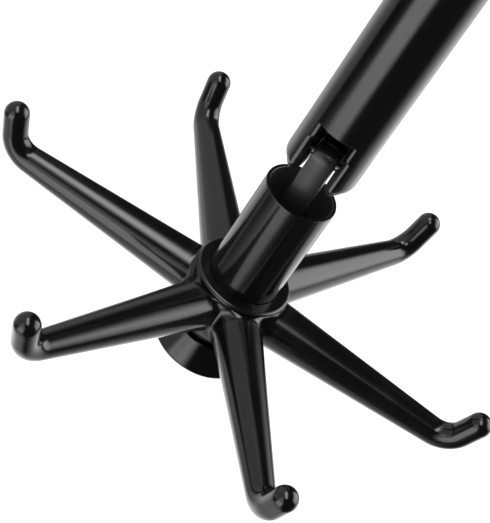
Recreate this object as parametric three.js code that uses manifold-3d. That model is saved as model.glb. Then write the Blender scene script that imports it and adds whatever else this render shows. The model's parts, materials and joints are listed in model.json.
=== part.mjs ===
// A folding mug tree that hangs under a kitchen cabinet. A base sticks to the cabinet, a tube hangs
// from it on a shoulder hinge, and an elbow hinge carries a short drop tube with a six-hook rotor.
// Millimetres, +Z up. The origin is the centre of the face that sticks to the cabinet.
import * as THREE from "three";
import { mergeVertices } from "three/addons/utils/BufferGeometryUtils.js";
import Module from "manifold-3d";

const wasm = await Module();
wasm.setup();

// ---------- Driving dimensions ----------

const GAP = 0.3; // between pieces that rest on each other
const RUNNING_FIT = 0.08; // radial clearance of a shaft that turns in its hole
const EDGE = 0.4; // chamfer on visible edges
const FINE_EDGE = 0.15; // chamfer on small rings
const CUT = 1; // how far a cutter runs past what it cuts

// Both tubes are 25 mm tube with the same wall.
const TUBE_RADIUS = 12.5;
const TUBE_WALL = 1.35;
const TUBE_BORE = TUBE_RADIUS - TUBE_WALL;
const PLUG_RADIUS = TUBE_BORE - GAP; // anything pressed into a tube

// Heights of the two hinges and of the plane that the hook arms lie in.
const SHOULDER_Z = -24;
const ARM_LENGTH = 180; // shoulder hinge to elbow hinge
const DROP_LENGTH = 67.3; // elbow hinge to the plane of the hooks
const ELBOW_Z = SHOULDER_Z - ARM_LENGTH;
const HOOK_Z = ELBOW_Z - DROP_LENGTH;

// Base.
const PAD_RADIUS = 34;
const PAD_THICKNESS = 1.6;
const PAD_HOLE = 3.6;
const PLATE_RADIUS = 36;
const PLATE_THICKNESS = 7;
const PLATE_TOP = -PAD_THICKNESS - GAP;
const PLATE_BOTTOM = PLATE_TOP - PLATE_THICKNESS;
const SCREW_CIRCLE = 26; // radius of the circle of the screw holes
const SCREW_HOLE = 2.25;
const SCREW_HEAD = 4.6;
const SCREW_COUNT = 3;
const PLATE_ROUND = 3; // radius of the plate's lower edge
const EAR_THICKNESS = 4.5;
const EAR_RADIUS = 9;
const EAR_FILLET_WIDTH = 4; // where an ear meets the plate
const EAR_FILLET_HEIGHT = 6;
const EAR_CORNER = 3;

// Shoulder hinge, along X.
const KNUCKLE_HALF_WIDTH = 4.15; // half of each hinge tongue, along X
const SHOULDER_RADIUS = 8;
const BOLT_RADIUS = 3;
const BOLT_HEAD = 6;
const BOLT_DOME = 3; // height of the domed head
const BOLT_REACH = 6.5; // how far the thread stands out of the second ear
const SPRING_WASHER_THICKNESS = 1.2;
const SPRING_WASHER_DISH = 0.4;
const NUT_HEX_HEIGHT = 4;
const NUT_DOME_RADIUS = 4.8;
const WASHER_THICKNESS = 1;
const WASHER_RADIUS = 7.5;
const STOP_THICKNESS = 3.5; // of the wall that stops the arm where it hangs straight
const STOP_BACK = -SHOULDER_RADIUS - GAP;
const STOP_FRONT = STOP_BACK - STOP_THICKNESS;
const STOP_BOTTOM = SHOULDER_Z - EAR_RADIUS;
const EAR_INSIDE = KNUCKLE_HALF_WIDTH + GAP + WASHER_THICKNESS + GAP;
const EAR_OUTSIDE = EAR_INSIDE + EAR_THICKNESS;

// Arm tube: its ends measured from the hinges, and the window that the elbow folds through.
const TUBE_BELOW_ELBOW = 3;
const FLANGE_BELOW_SHOULDER = 14;
const FLANGE_THICKNESS = 2;
const KNUCKLE_PLUG_LENGTH = 20;
const WINDOW_WIDE = 7.76; // half widths on the outside of the tube
const WINDOW_NARROW = 6.95;
const WINDOW_STEP_Z = 9.9; // above the elbow hinge
const WINDOW_TOP_Z = 16.6;

// Elbow hinge, along X.
const ELBOW_RADIUS = 4.9;
const ELBOW_PIN_RADIUS = 1.25;
const CHEEK_INSIDE = 4.7; // inner face of each fork cheek
const CHEEK_BOTTOM = -5.5; // below the hinge
const CHEEK_STRAIGHT_END = 0.5; // along Y, just behind the pin
const CHEEK_LIP_X = 5.15; // where the slight draft ends and the open mouth starts
const CHEEK_LIP_Y = -5.5;
const CHEEK_MOUTH = 0.83; // how much wider the mouth gets per millimetre towards the front
const PIN_SLOT_REACH = 5.9; // a sloping slot in each cheek, this far out, lets the pin in
const PIN_SLOT_HALF_HEIGHT = 1.5;
const PIN_SLOT_SLOPE = THREE.MathUtils.degToRad(40);
const FORK_PLUG_BOTTOM = 20;
const FORK_PLUG_TOP = 36;

// Drop tube and spindle, measured from the plane of the hooks.
const DROP_TUBE_BOTTOM = 7;
const DROP_TUBE_TOP = 51.3;
const TONGUE_PLUG_BOTTOM = 10;
const TONGUE_PLUG_TOP = 38;
const SPINDLE_RADIUS = 3.9;
const SPINDLE_TOP = 28;
const SLEEVE_RADIUS = 6;
const BUSHING_WALL = 1.3;
const THRUST_RADIUS = 10.5;

// Hub.
const HUB_FLAT = 15; // axis to each of its six flats
const SOCKET_END = 18.3; // axis to the end of the round socket on each flat
const HUB_BOTTOM = -12;
const HUB_FOOT_RADIUS = 13.7;
const FLANGE_RADIUS = 16.9;
const FLANGE_TOP = 10.5;
const FLANGE_BOTTOM = 9.3;
const NECK_RADIUS = 14.6;
const NECK_BOTTOM = 8.2;
const HUB_CHAMFER = 3.4; // height of the cone under the flats
const HUB_SHOULDER = 1.5; // height of the cone over the flats
const COUNTERBORE_FLOOR = 6.5;
const COUNTERBORE_ROOM = 0.3; // round the drop tube

// Bottom cap.
const CAP_TOP = -13.7;
const CAP_BOTTOM = -23.4;
const CAP_TOP_RADIUS = 13.7;
const CAP_BOTTOM_RADIUS = 17.4;
const CAP_LIP = 0.8;
const CAP_RECESS_RADIUS = 14.5;
const CAP_RECESS_DEPTH = 1.5;
const BOLT_SEAT_Z = -17.4;
const SPINDLE_HEAD_RADIUS = 6.5;
const SPINDLE_HEAD_HEIGHT = 4.7;
const SPINDLE_KEY = 3.5; // corner radius of the hexagon socket
const SPINDLE_KEY_DEPTH = 2.6;
const SPINDLE_HEAD_ROOM = 0.7;

// Hook arms: a tapered bar along X, bent up near its end. The taper starts on the hub's sockets.
const HOOK_COUNT = 6;
const HOOK_REST_TURN = THREE.MathUtils.degToRad(4.65); // where the free rotor stands at rest
const HOOK_ROOT = SOCKET_END + GAP;
const TENON_TIP = 10.5;
const TENON_RADIUS = 3.8;
const BEND_START = 81.9;
const BEND_START_RADIUS = 4.7;
const TAPER = 0.0564; // radius lost per millimetre of arm
const BEND_RADIUS = 7.4;
const BEND_ANGLE = THREE.MathUtils.degToRad(71);
const TIP_LENGTH = 8.6; // straight part after the bend, to the middle of the round end
const TIP_RADIUS = 4.33;

// Facets.
const TUBE_SEGMENTS = 48;
const SMALL_SEGMENTS = 24;
const HOOK_SEGMENTS = 24;
const BEND_STEPS = 7;
const ROUND_STEPS = 4;

// ---------- Materials ----------

function finish(color, roughness, metalness) {
  return new THREE.MeshStandardMaterial({ color, roughness, metalness });
}

const glossBlack = finish(0x0b0b0c, 0.16, 0);
const paintedBlack = finish(0x0c0c0d, 0.14, 0.1);
const satinBlack = finish(0x151516, 0.38, 0);
const steel = finish(0xb9bbbe, 0.3, 1);
const nylon = finish(0xe4e1d8, 0.5, 0);
const foam = finish(0x3a3a3c, 0.9, 0);

// ---------- Shape helpers ----------

// A closed geometry as a manifold solid, for cutting and joining.
function solid(geometry) {
  const bare = geometry.index ? geometry.toNonIndexed() : geometry.clone();
  bare.deleteAttribute("normal");
  bare.deleteAttribute("uv");
  const merged = mergeVertices(bare, 1e-4);
  return new wasm.Manifold(
    new wasm.Mesh({
      numProp: 3,
      vertProperties: merged.attributes.position.array,
      triVerts: new Uint32Array(merged.index.array),
    }),
  );
}

// The geometry of a manifold solid.
function geometryOf(manifold) {
  const mesh = manifold.getMesh();
  const geometry = new THREE.BufferGeometry();
  geometry.setAttribute("position", new THREE.BufferAttribute(mesh.vertProperties, 3));
  geometry.setIndex(new THREE.BufferAttribute(mesh.triVerts, 1));
  const flat = geometry.toNonIndexed();
  flat.computeVertexNormals();
  return flat;
}

// A shape turned about Z from [radius, height] corners.
function turned(profile, segments = TUBE_SEGMENTS) {
  const points = profile.map(([radius, height]) => new THREE.Vector2(radius, height));
  return new THREE.LatheGeometry(points, segments).rotateX(Math.PI / 2);
}

// The same about X, with the heights along +X.
function turnedAlongX(profile, segments = SMALL_SEGMENTS) {
  return turned(profile, segments).rotateY(Math.PI / 2);
}

// The closed profile of a ring with square edges.
function plainRing(inner, outer, bottom, top) {
  return [[inner, bottom], [outer, bottom], [outer, top], [inner, top], [inner, bottom]];
}

// The closed profile of a ring with chamfered edges.
function ringProfile(inner, outer, bottom, top, edge) {
  return [
    [inner + edge, bottom],
    [outer - edge, bottom],
    [outer, bottom + edge],
    [outer, top - edge],
    [outer - edge, top],
    [inner + edge, top],
    [inner, top - edge],
    [inner, bottom + edge],
    [inner + edge, bottom],
  ];
}

// The profile of a round bar with chamfered ends.
function barProfile(radius, bottom, top, edge) {
  return [
    [0, bottom],
    [radius - edge, bottom],
    [radius, bottom + edge],
    [radius, top - edge],
    [radius - edge, top],
    [0, top],
  ];
}

// A round cutter along Z, with no chamfer.
function drill(radius, bottom, top, segments = SMALL_SEGMENTS) {
  const length = top - bottom;
  const cutter = new THREE.CylinderGeometry(radius, radius, length, segments).rotateX(Math.PI / 2);
  return solid(cutter.translate(0, 0, bottom + length / 2));
}

// A round cutter along X, centred.
function drillAlongX(radius, length) {
  const cutter = new THREE.CylinderGeometry(radius, radius, length, SMALL_SEGMENTS);
  return solid(cutter.rotateZ(Math.PI / 2));
}

function block(x0, x1, y0, y1, z0, z1) {
  const box = new THREE.BoxGeometry(x1 - x0, y1 - y0, z1 - z0);
  return solid(box.translate((x0 + x1) / 2, (y0 + y1) / 2, (z0 + z1) / 2));
}

// An outline in Y and Z, as a slab from x0 to x1 with its edges eased by `edge`.
function slabAlongX(shape, x0, x1, edge = 0) {
  const slab = new THREE.ExtrudeGeometry(shape, {
    depth: x1 - x0 - 2 * edge,
    curveSegments: 8,
    bevelEnabled: edge > 0,
    bevelThickness: edge,
    bevelSize: edge,
    bevelOffset: -edge,
    bevelSegments: 1,
  }).translate(0, 0, x0 + edge);
  const turn = new THREE.Matrix4().makeBasis(
    new THREE.Vector3(0, 1, 0),
    new THREE.Vector3(0, 0, 1),
    new THREE.Vector3(1, 0, 0),
  );
  return slab.applyMatrix4(turn);
}

// Steps a round stretch from one angle to another about a middle point.
function arc(middleX, middleY, radius, from, to, steps = ROUND_STEPS) {
  return Array.from({ length: steps + 1 }, (_, i) => {
    const angle = from + ((to - from) * i) / steps;
    return [middleX + radius * Math.cos(angle), middleY + radius * Math.sin(angle)];
  });
}

// A tongue in Y and Z: straight sides from `bottom`, and a round end about the hinge at `pivot`.
function tongueShape(radius, bottom, pivot) {
  const shape = new THREE.Shape();
  shape.moveTo(-radius, bottom);
  shape.lineTo(radius, bottom);
  shape.lineTo(radius, pivot);
  shape.absarc(0, pivot, radius, 0, Math.PI, false);
  shape.closePath();
  return shape;
}

// ---------- Base ----------

function screwHoles(radius, bottom, top) {
  const holes = [];
  for (let i = 0; i < SCREW_COUNT; i += 1) {
    const angle = Math.PI / 2 + (i * 2 * Math.PI) / SCREW_COUNT;
    const hole = drill(radius, bottom, top);
    holes.push(hole.translate([SCREW_CIRCLE * Math.cos(angle), SCREW_CIRCLE * Math.sin(angle), 0]));
  }
  return holes.reduce((all, hole) => all.add(hole));
}

function adhesivePad() {
  const disc = solid(turned(barProfile(PAD_RADIUS, -PAD_THICKNESS, 0, FINE_EDGE)));
  return geometryOf(disc.subtract(screwHoles(PAD_HOLE, -PAD_THICKNESS - CUT, CUT)));
}

const EAR_ROOT_TOP = (PLATE_BOTTOM + PLATE_TOP) / 2; // the ears are rooted inside the plate

// One ear hangs from the plate: round about the hinge behind, and squared to the stop in front.
function ear(x0) {
  const shape = new THREE.Shape();
  const rootBack = EAR_RADIUS + EAR_FILLET_WIDTH;
  const rootFront = STOP_FRONT - EAR_FILLET_WIDTH;
  const filletEnd = PLATE_BOTTOM - EAR_FILLET_HEIGHT;
  shape.moveTo(rootBack, EAR_ROOT_TOP);
  shape.lineTo(rootFront, EAR_ROOT_TOP);
  shape.lineTo(rootFront, PLATE_BOTTOM);
  shape.quadraticCurveTo(STOP_FRONT, PLATE_BOTTOM, STOP_FRONT, filletEnd);
  shape.lineTo(STOP_FRONT, STOP_BOTTOM + EAR_CORNER);
  shape.quadraticCurveTo(STOP_FRONT, STOP_BOTTOM, STOP_FRONT + EAR_CORNER, STOP_BOTTOM);
  shape.lineTo(0, STOP_BOTTOM);
  shape.absarc(0, SHOULDER_Z, EAR_RADIUS, 1.5 * Math.PI, 2 * Math.PI, false);
  shape.lineTo(EAR_RADIUS, filletEnd);
  shape.quadraticCurveTo(EAR_RADIUS, PLATE_BOTTOM, rootBack, PLATE_BOTTOM);
  shape.closePath();
  return solid(slabAlongX(shape, x0, x0 + EAR_THICKNESS, EDGE));
}

// The wall between the ears, a little behind their front edges.
function stopWall() {
  const end = EAR_INSIDE + CUT;
  const front = STOP_FRONT + 2 * EDGE;
  return block(-end, end, front, STOP_BACK, STOP_BOTTOM + EAR_CORNER, EAR_ROOT_TOP);
}

function basePlate() {
  const roundRadius = PLATE_RADIUS - PLATE_ROUND;
  const roundEdge = arc(roundRadius, PLATE_BOTTOM + PLATE_ROUND, PLATE_ROUND, -Math.PI / 2, 0);
  const disc = turned([
    [0, PLATE_BOTTOM],
    ...roundEdge,
    [PLATE_RADIUS, PLATE_TOP - EDGE],
    [PLATE_RADIUS - EDGE, PLATE_TOP],
    [0, PLATE_TOP],
  ]);
  const recessTop = PLATE_BOTTOM + SCREW_HEAD - SCREW_HOLE;
  const pivotHole = drillAlongX(BOLT_RADIUS + RUNNING_FIT, 4 * EAR_OUTSIDE);
  return geometryOf(
    solid(disc)
      .add(ear(EAR_INSIDE))
      .add(ear(-EAR_OUTSIDE))
      .add(stopWall())
      .subtract(screwHoles(SCREW_HOLE, PLATE_BOTTOM - CUT, PLATE_TOP + CUT))
      .subtract(screwHoles(SCREW_HEAD, PLATE_BOTTOM - CUT, recessTop))
      .subtract(pivotHole.translate([0, 0, SHOULDER_Z])),
  );
}

// The head, on the -X side, is a low dome.
function shoulderBolt() {
  const under = -EAR_OUTSIDE - GAP;
  const end = EAR_OUTSIDE + BOLT_REACH;
  const dome = arc(0, 0, 1, -Math.PI / 2, -Math.PI / 12).map(([across, along]) => [
    BOLT_HEAD * across,
    under - EDGE + (BOLT_DOME - EDGE) * along,
  ]);
  return turnedAlongX([
    [0, under - BOLT_DOME],
    ...dome.slice(1),
    [BOLT_HEAD, under - EDGE],
    [BOLT_HEAD, under],
    [BOLT_RADIUS, under],
    [BOLT_RADIUS, end - EDGE],
    [BOLT_RADIUS - EDGE, end],
    [0, end],
  ]);
}

const SPRING_WASHER_X = EAR_OUTSIDE + GAP;

// A dished ring under the nut keeps the hinge stiff.
function springWasher() {
  const inner = BOLT_RADIUS + GAP;
  const far = SPRING_WASHER_X + SPRING_WASHER_THICKNESS;
  return turnedAlongX([
    [inner, SPRING_WASHER_X + SPRING_WASHER_DISH],
    [BOLT_HEAD, SPRING_WASHER_X],
    [BOLT_HEAD, far - SPRING_WASHER_DISH],
    [inner, far],
    [inner, SPRING_WASHER_X + SPRING_WASHER_DISH],
  ]);
}

// A hexagon nut closed by a dome.
function shoulderNut() {
  const face = SPRING_WASHER_X + SPRING_WASHER_THICKNESS + GAP;
  const domeStart = face + NUT_HEX_HEIGHT;
  const hex = new THREE.CylinderGeometry(BOLT_HEAD, BOLT_HEAD, NUT_HEX_HEIGHT, 6).rotateZ(Math.PI / 2);
  const dome = turnedAlongX([
    [0, face + CUT],
    [NUT_DOME_RADIUS, face + CUT],
    ...arc(0, domeStart, NUT_DOME_RADIUS, 0, Math.PI / 2).slice(0, -1),
    [0, domeStart + NUT_DOME_RADIUS],
  ]);
  const boreEnd = EAR_OUTSIDE + BOLT_REACH + GAP;
  const bore = turnedAlongX(barProfile(BOLT_RADIUS + GAP, face - CUT, boreEnd, EDGE));
  return geometryOf(
    solid(hex.translate(face + NUT_HEX_HEIGHT / 2, 0, 0))
      .add(solid(dome))
      .subtract(solid(bore)),
  );
}

function frictionWasher(side) {
  const inside = KNUCKLE_HALF_WIDTH + GAP;
  const near = side > 0 ? inside : -inside - WASHER_THICKNESS;
  return turnedAlongX(plainRing(BOLT_RADIUS + GAP, WASHER_RADIUS, near, near + WASHER_THICKNESS));
}

// ---------- Arm, drawn about the elbow hinge ----------

const ARM_TUBE_TOP = ARM_LENGTH - FLANGE_BELOW_SHOULDER - FLANGE_THICKNESS - GAP;

// A wedge from the tube's axis to the front, so that its cut edges point at the axis.
function windowCutter(halfWidth, bottom, top) {
  const reach = 2 * TUBE_RADIUS;
  const halfAngle = Math.asin(halfWidth / TUBE_RADIUS);
  const x = reach * Math.sin(halfAngle);
  const y = -reach * Math.cos(halfAngle);
  const shape = new THREE.Shape([
    new THREE.Vector2(0, 0),
    new THREE.Vector2(-x, y),
    new THREE.Vector2(x, y),
  ]);
  const wedge = new THREE.ExtrudeGeometry(shape, { depth: top - bottom, bevelEnabled: false });
  return solid(wedge.translate(0, 0, bottom));
}

function armTube() {
  const tube = turned(ringProfile(TUBE_BORE, TUBE_RADIUS, -TUBE_BELOW_ELBOW, ARM_TUBE_TOP, EDGE));
  return geometryOf(
    solid(tube)
      .subtract(windowCutter(WINDOW_WIDE, -2 * TUBE_BELOW_ELBOW, WINDOW_STEP_Z))
      .subtract(windowCutter(WINDOW_NARROW, 0, WINDOW_TOP_Z)),
  );
}

// The plug in the top of the arm tube, with its flange and the shoulder's tongue.
function shoulderKnuckle() {
  const flangeTop = ARM_LENGTH - FLANGE_BELOW_SHOULDER;
  const flangeBottom = flangeTop - FLANGE_THICKNESS;
  const plugBottom = flangeBottom - KNUCKLE_PLUG_LENGTH;
  const plug = turned([
    [0, plugBottom],
    [PLUG_RADIUS - EDGE, plugBottom],
    [PLUG_RADIUS, plugBottom + EDGE],
    [PLUG_RADIUS, flangeBottom],
    [TUBE_RADIUS, flangeBottom],
    [TUBE_RADIUS, flangeTop - EDGE],
    [TUBE_RADIUS - EDGE, flangeTop],
    [0, flangeTop],
  ]);
  const tongue = tongueShape(SHOULDER_RADIUS, flangeTop - CUT, ARM_LENGTH);
  const pivotHole = drillAlongX(BOLT_RADIUS + RUNNING_FIT, 4 * KNUCKLE_HALF_WIDTH);
  return geometryOf(
    solid(plug)
      .add(solid(slabAlongX(tongue, -KNUCKLE_HALF_WIDTH, KNUCKLE_HALF_WIDTH, EDGE)))
      .subtract(pivotHole.translate([0, 0, ARM_LENGTH])),
  );
}

// The fork's throat, seen from above: straight beside the tongue, then drafted, then open.
function forkThroat() {
  const back = ELBOW_RADIUS + GAP;
  const front = -2 * TUBE_RADIUS;
  const mouth = CHEEK_LIP_X + CHEEK_MOUTH * (CHEEK_LIP_Y - front);
  const half = [
    [CHEEK_INSIDE, back],
    [CHEEK_INSIDE, CHEEK_STRAIGHT_END],
    [CHEEK_LIP_X, CHEEK_LIP_Y],
    [mouth, front],
  ];
  const mirrored = half.map(([x, y]) => [-x, y]).reverse();
  const outline = new THREE.Shape([...half, ...mirrored].map(([x, y]) => new THREE.Vector2(x, y)));
  const bottom = CHEEK_BOTTOM - CUT;
  const depth = FORK_PLUG_BOTTOM - bottom;
  const throat = new THREE.ExtrudeGeometry(outline, { depth, bevelEnabled: false });
  return solid(throat.translate(0, 0, bottom));
}

// The insert in the bottom of the arm tube: a plug, two cheeks that hold the pin, and a back wall
// that stops the elbow when it hangs straight.
function elbowFork() {
  const half = PIN_SLOT_HALF_HEIGHT;
  const pinSlot = block(-PIN_SLOT_REACH, PIN_SLOT_REACH, -2 * TUBE_RADIUS, 0, -half, half);
  return geometryOf(
    solid(turned(barProfile(PLUG_RADIUS, CHEEK_BOTTOM, FORK_PLUG_TOP, EDGE)))
      .subtract(forkThroat())
      .subtract(pinSlot.rotate([-THREE.MathUtils.radToDeg(PIN_SLOT_SLOPE), 0, 0]))
      .subtract(drillAlongX(ELBOW_PIN_RADIUS + RUNNING_FIT, 4 * TUBE_RADIUS)),
  );
}

// The tube's bore keeps this headless pin in the fork.
function elbowPin() {
  const end = PLUG_RADIUS - GAP;
  return turnedAlongX(barProfile(ELBOW_PIN_RADIUS, -end, end, EDGE));
}

// ---------- Drop, drawn about the plane of the hooks ----------

// The plug in the drop tube and the bar that rises from it into the fork.
function elbowTongue() {
  const plug = turned(barProfile(PLUG_RADIUS, TONGUE_PLUG_BOTTOM, TONGUE_PLUG_TOP, EDGE));
  const bar = tongueShape(ELBOW_RADIUS, TONGUE_PLUG_TOP - CUT, DROP_LENGTH);
  const pinHole = drillAlongX(ELBOW_PIN_RADIUS + RUNNING_FIT, 4 * CHEEK_INSIDE);
  return geometryOf(
    solid(plug)
      .add(solid(slabAlongX(bar, -KNUCKLE_HALF_WIDTH, KNUCKLE_HALF_WIDTH, EDGE)))
      .subtract(pinHole.translate([0, 0, DROP_LENGTH]))
      .subtract(drill(SPINDLE_RADIUS + GAP, TONGUE_PLUG_BOTTOM - CUT, SPINDLE_TOP + GAP)),
  );
}

function dropTube() {
  return turned(ringProfile(TUBE_BORE, TUBE_RADIUS, DROP_TUBE_BOTTOM, DROP_TUBE_TOP, EDGE));
}

// The bolt that holds the rotor up: its head sits in the bottom cap.
function spindleBolt() {
  const seat = BOLT_SEAT_Z - GAP;
  const headBottom = seat - SPINDLE_HEAD_HEIGHT;
  const profile = [
    [0, headBottom],
    [SPINDLE_HEAD_RADIUS - EDGE, headBottom],
    [SPINDLE_HEAD_RADIUS, headBottom + EDGE],
    [SPINDLE_HEAD_RADIUS, seat],
    [SPINDLE_RADIUS, seat],
    [SPINDLE_RADIUS, SPINDLE_TOP - EDGE],
    [SPINDLE_RADIUS - EDGE, SPINDLE_TOP],
    [0, SPINDLE_TOP],
  ];
  const key = drill(SPINDLE_KEY, headBottom - CUT, headBottom + SPINDLE_KEY_DEPTH, 6);
  return geometryOf(solid(turned(profile, SMALL_SEGMENTS)).subtract(key));
}

// The sleeve is clamped between the cap and the tongue's plug, so the rotor stays free.
function spindleSleeve() {
  const bottom = CAP_TOP + GAP;
  const top = TONGUE_PLUG_BOTTOM - GAP;
  return turned(plainRing(SPINDLE_RADIUS + GAP, SLEEVE_RADIUS, bottom, top), SMALL_SEGMENTS);
}

function thrustWasher() {
  const bottom = CAP_TOP + GAP;
  const top = HUB_BOTTOM - GAP;
  return turned(plainRing(SLEEVE_RADIUS + GAP, THRUST_RADIUS, bottom, top), SMALL_SEGMENTS);
}

// A flared foot with a lip, hollowed below round the bolt's head.
function bottomCap() {
  const flareBottom = CAP_BOTTOM + CAP_LIP;
  const roof = CAP_BOTTOM + CAP_RECESS_DEPTH;
  const hole = SPINDLE_RADIUS + GAP;
  const headHole = SPINDLE_HEAD_RADIUS + SPINDLE_HEAD_ROOM;
  return turned([
    [hole, BOLT_SEAT_Z],
    [headHole, BOLT_SEAT_Z],
    [headHole, roof],
    [CAP_RECESS_RADIUS, roof],
    [CAP_RECESS_RADIUS, CAP_BOTTOM],
    [CAP_BOTTOM_RADIUS - FINE_EDGE, CAP_BOTTOM],
    [CAP_BOTTOM_RADIUS, CAP_BOTTOM + FINE_EDGE],
    [CAP_BOTTOM_RADIUS, flareBottom],
    [CAP_TOP_RADIUS, CAP_TOP - EDGE],
    [CAP_TOP_RADIUS - EDGE, CAP_TOP],
    [hole, CAP_TOP],
    [hole, BOLT_SEAT_Z],
  ]);
}

// ---------- Rotor, drawn about the plane of the hooks ----------

const BUSHING_RADIUS = SLEEVE_RADIUS + RUNNING_FIT + BUSHING_WALL;

// Radius of the tapered bar at a distance from the hub's axis.
function taperRadius(along) {
  return BEND_START_RADIUS + TAPER * (BEND_START - along);
}

// The i-th arm points along this angle about Z.
function hookAngle(i) {
  return (i * 2 * Math.PI) / HOOK_COUNT;
}

// The stub of one arm's taper that stands out of the hub.
function socket(i) {
  const start = TENON_TIP;
  const stub = turnedAlongX(
    [[0, start], [taperRadius(start), start], [taperRadius(SOCKET_END), SOCKET_END], [0, SOCKET_END]],
    HOOK_SEGMENTS,
  );
  return solid(stub.rotateZ(hookAngle(i)));
}

function socketHole(i) {
  const start = TENON_TIP - GAP;
  const bar = barProfile(TENON_RADIUS + GAP, start, SOCKET_END + CUT, EDGE);
  return solid(turnedAlongX(bar, HOOK_SEGMENTS).rotateZ(hookAngle(i)));
}

// A six-sided body with a round foot, a neck and a round flange. The drop tube stands in its
// counterbore, and each flat has the round socket of one arm.
function hub() {
  const corner = HUB_FLAT / Math.cos(Math.PI / HOOK_COUNT);
  const height = NECK_BOTTOM - HUB_BOTTOM;
  const prism = new THREE.CylinderGeometry(corner, corner, height, HOOK_COUNT)
    .rotateX(Math.PI / 2)
    .rotateZ(Math.PI / HOOK_COUNT - Math.PI / 2)
    .translate(0, 0, HUB_BOTTOM + height / 2);
  const envelope = turned([
    [0, HUB_BOTTOM],
    [HUB_FOOT_RADIUS, HUB_BOTTOM],
    [corner, HUB_BOTTOM + HUB_CHAMFER],
    [corner, NECK_BOTTOM - HUB_SHOULDER],
    [NECK_RADIUS, NECK_BOTTOM],
    [NECK_RADIUS, FLANGE_BOTTOM],
    [0, FLANGE_BOTTOM],
  ]);
  const rimRadius = (FLANGE_TOP - FLANGE_BOTTOM) / 2;
  const rimMiddle = FLANGE_BOTTOM + rimRadius;
  const flange = turned([
    [0, NECK_BOTTOM - CUT],
    [NECK_RADIUS, NECK_BOTTOM - CUT],
    [NECK_RADIUS, FLANGE_BOTTOM],
    ...arc(FLANGE_RADIUS - rimRadius, rimMiddle, rimRadius, -Math.PI / 2, Math.PI / 2),
    [0, FLANGE_TOP],
  ]);
  const counterbore = TUBE_RADIUS + COUNTERBORE_ROOM;
  let body = solid(prism).intersect(solid(envelope)).add(solid(flange));
  for (let i = 0; i < HOOK_COUNT; i += 1) {
    body = body.add(socket(i));
  }
  body = body
    .subtract(drill(counterbore, COUNTERBORE_FLOOR, FLANGE_TOP + CUT, TUBE_SEGMENTS))
    .subtract(drill(BUSHING_RADIUS + GAP, HUB_BOTTOM - CUT, COUNTERBORE_FLOOR + CUT));
  for (let i = 0; i < HOOK_COUNT; i += 1) {
    body = body.subtract(socketHole(i));
  }
  return geometryOf(body);
}

function hubBushing() {
  const inner = SLEEVE_RADIUS + RUNNING_FIT;
  return turned(plainRing(inner, BUSHING_RADIUS, HUB_BOTTOM, COUNTERBORE_FLOOR), SMALL_SEGMENTS);
}

// The straight blank of an arm, turned about Y with its length along Y: tenon, tapered bar, round end.
function hookBlank() {
  const bendEnd = BEND_START + BEND_RADIUS * BEND_ANGLE;
  const tipMiddle = bendEnd + TIP_LENGTH;
  const profile = [
    [0, TENON_TIP],
    [TENON_RADIUS - EDGE, TENON_TIP],
    [TENON_RADIUS, TENON_TIP + EDGE],
    [TENON_RADIUS, HOOK_ROOT],
    [taperRadius(HOOK_ROOT), HOOK_ROOT],
  ];
  for (let i = 0; i <= BEND_STEPS; i += 1) {
    const share = i / BEND_STEPS;
    const radius = THREE.MathUtils.lerp(BEND_START_RADIUS, TIP_RADIUS, share);
    profile.push([radius, BEND_START + share * (bendEnd - BEND_START)]);
  }
  profile.push(...arc(0, tipMiddle, TIP_RADIUS, 0, Math.PI / 2).slice(0, -1));
  profile.push([0, tipMiddle + TIP_RADIUS]);
  return new THREE.LatheGeometry(
    profile.map(([radius, along]) => new THREE.Vector2(radius, along)),
    HOOK_SEGMENTS,
  );
}

// Lays the blank along +X and bends its end up.
function hookArm() {
  const blank = hookBlank();
  const place = blank.attributes.position;
  for (let i = 0; i < place.count; i += 1) {
    const along = place.getY(i) - BEND_START;
    const angle = THREE.MathUtils.clamp(along / BEND_RADIUS, 0, BEND_ANGLE);
    const straight = along - BEND_RADIUS * angle;
    const up = place.getX(i);
    const sine = Math.sin(angle);
    const cosine = Math.cos(angle);
    const x = BEND_START + (BEND_RADIUS - up) * sine + straight * cosine;
    const z = BEND_RADIUS - (BEND_RADIUS - up) * cosine + straight * sine;
    place.setXYZ(i, x, place.getZ(i), z);
  }
  return blank;
}

// ---------- Assembly ----------

function piece(name, geometry, material) {
  const mesh = new THREE.Mesh(geometry, material);
  mesh.name = name;
  return mesh;
}

const base = new THREE.Group();
base.add(
  piece("adhesive_pad", adhesivePad(), foam),
  piece("base_plate", basePlate(), glossBlack),
);

const shoulder = new THREE.Group();
shoulder.position.z = SHOULDER_Z;
shoulder.add(
  piece("shoulder_bolt", shoulderBolt(), steel),
  piece("spring_washer", springWasher(), steel),
  piece("shoulder_nut", shoulderNut(), steel),
  piece("friction_washer_left", frictionWasher(-1), nylon),
  piece("friction_washer_right", frictionWasher(1), nylon),
);

const arm = new THREE.Group();
arm.position.z = ELBOW_Z;
arm.add(
  piece("arm_tube", armTube(), paintedBlack),
  piece("shoulder_knuckle", shoulderKnuckle(), satinBlack),
  piece("elbow_fork", elbowFork(), satinBlack),
  piece("elbow_pin", elbowPin(), steel),
);

const drop = new THREE.Group();
drop.position.z = HOOK_Z;
drop.add(
  piece("elbow_tongue", elbowTongue(), satinBlack),
  piece("drop_tube", dropTube(), paintedBlack),
  piece("spindle_bolt", spindleBolt(), steel),
  piece("spindle_sleeve", spindleSleeve(), steel),
  piece("thrust_washer", thrustWasher(), satinBlack),
  piece("bottom_cap", bottomCap(), glossBlack),
);

const rotor = new THREE.Group();
rotor.position.z = HOOK_Z;
rotor.rotation.z = HOOK_REST_TURN;
rotor.add(
  piece("hub", hub(), glossBlack),
  piece("hub_bushing", hubBushing(), nylon),
);
for (let i = 0; i < HOOK_COUNT; i += 1) {
  const hook = piece(`hook_arm_${i + 1}`, hookArm(), glossBlack);
  hook.rotation.z = hookAngle(i);
  rotor.add(hook);
}

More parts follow.
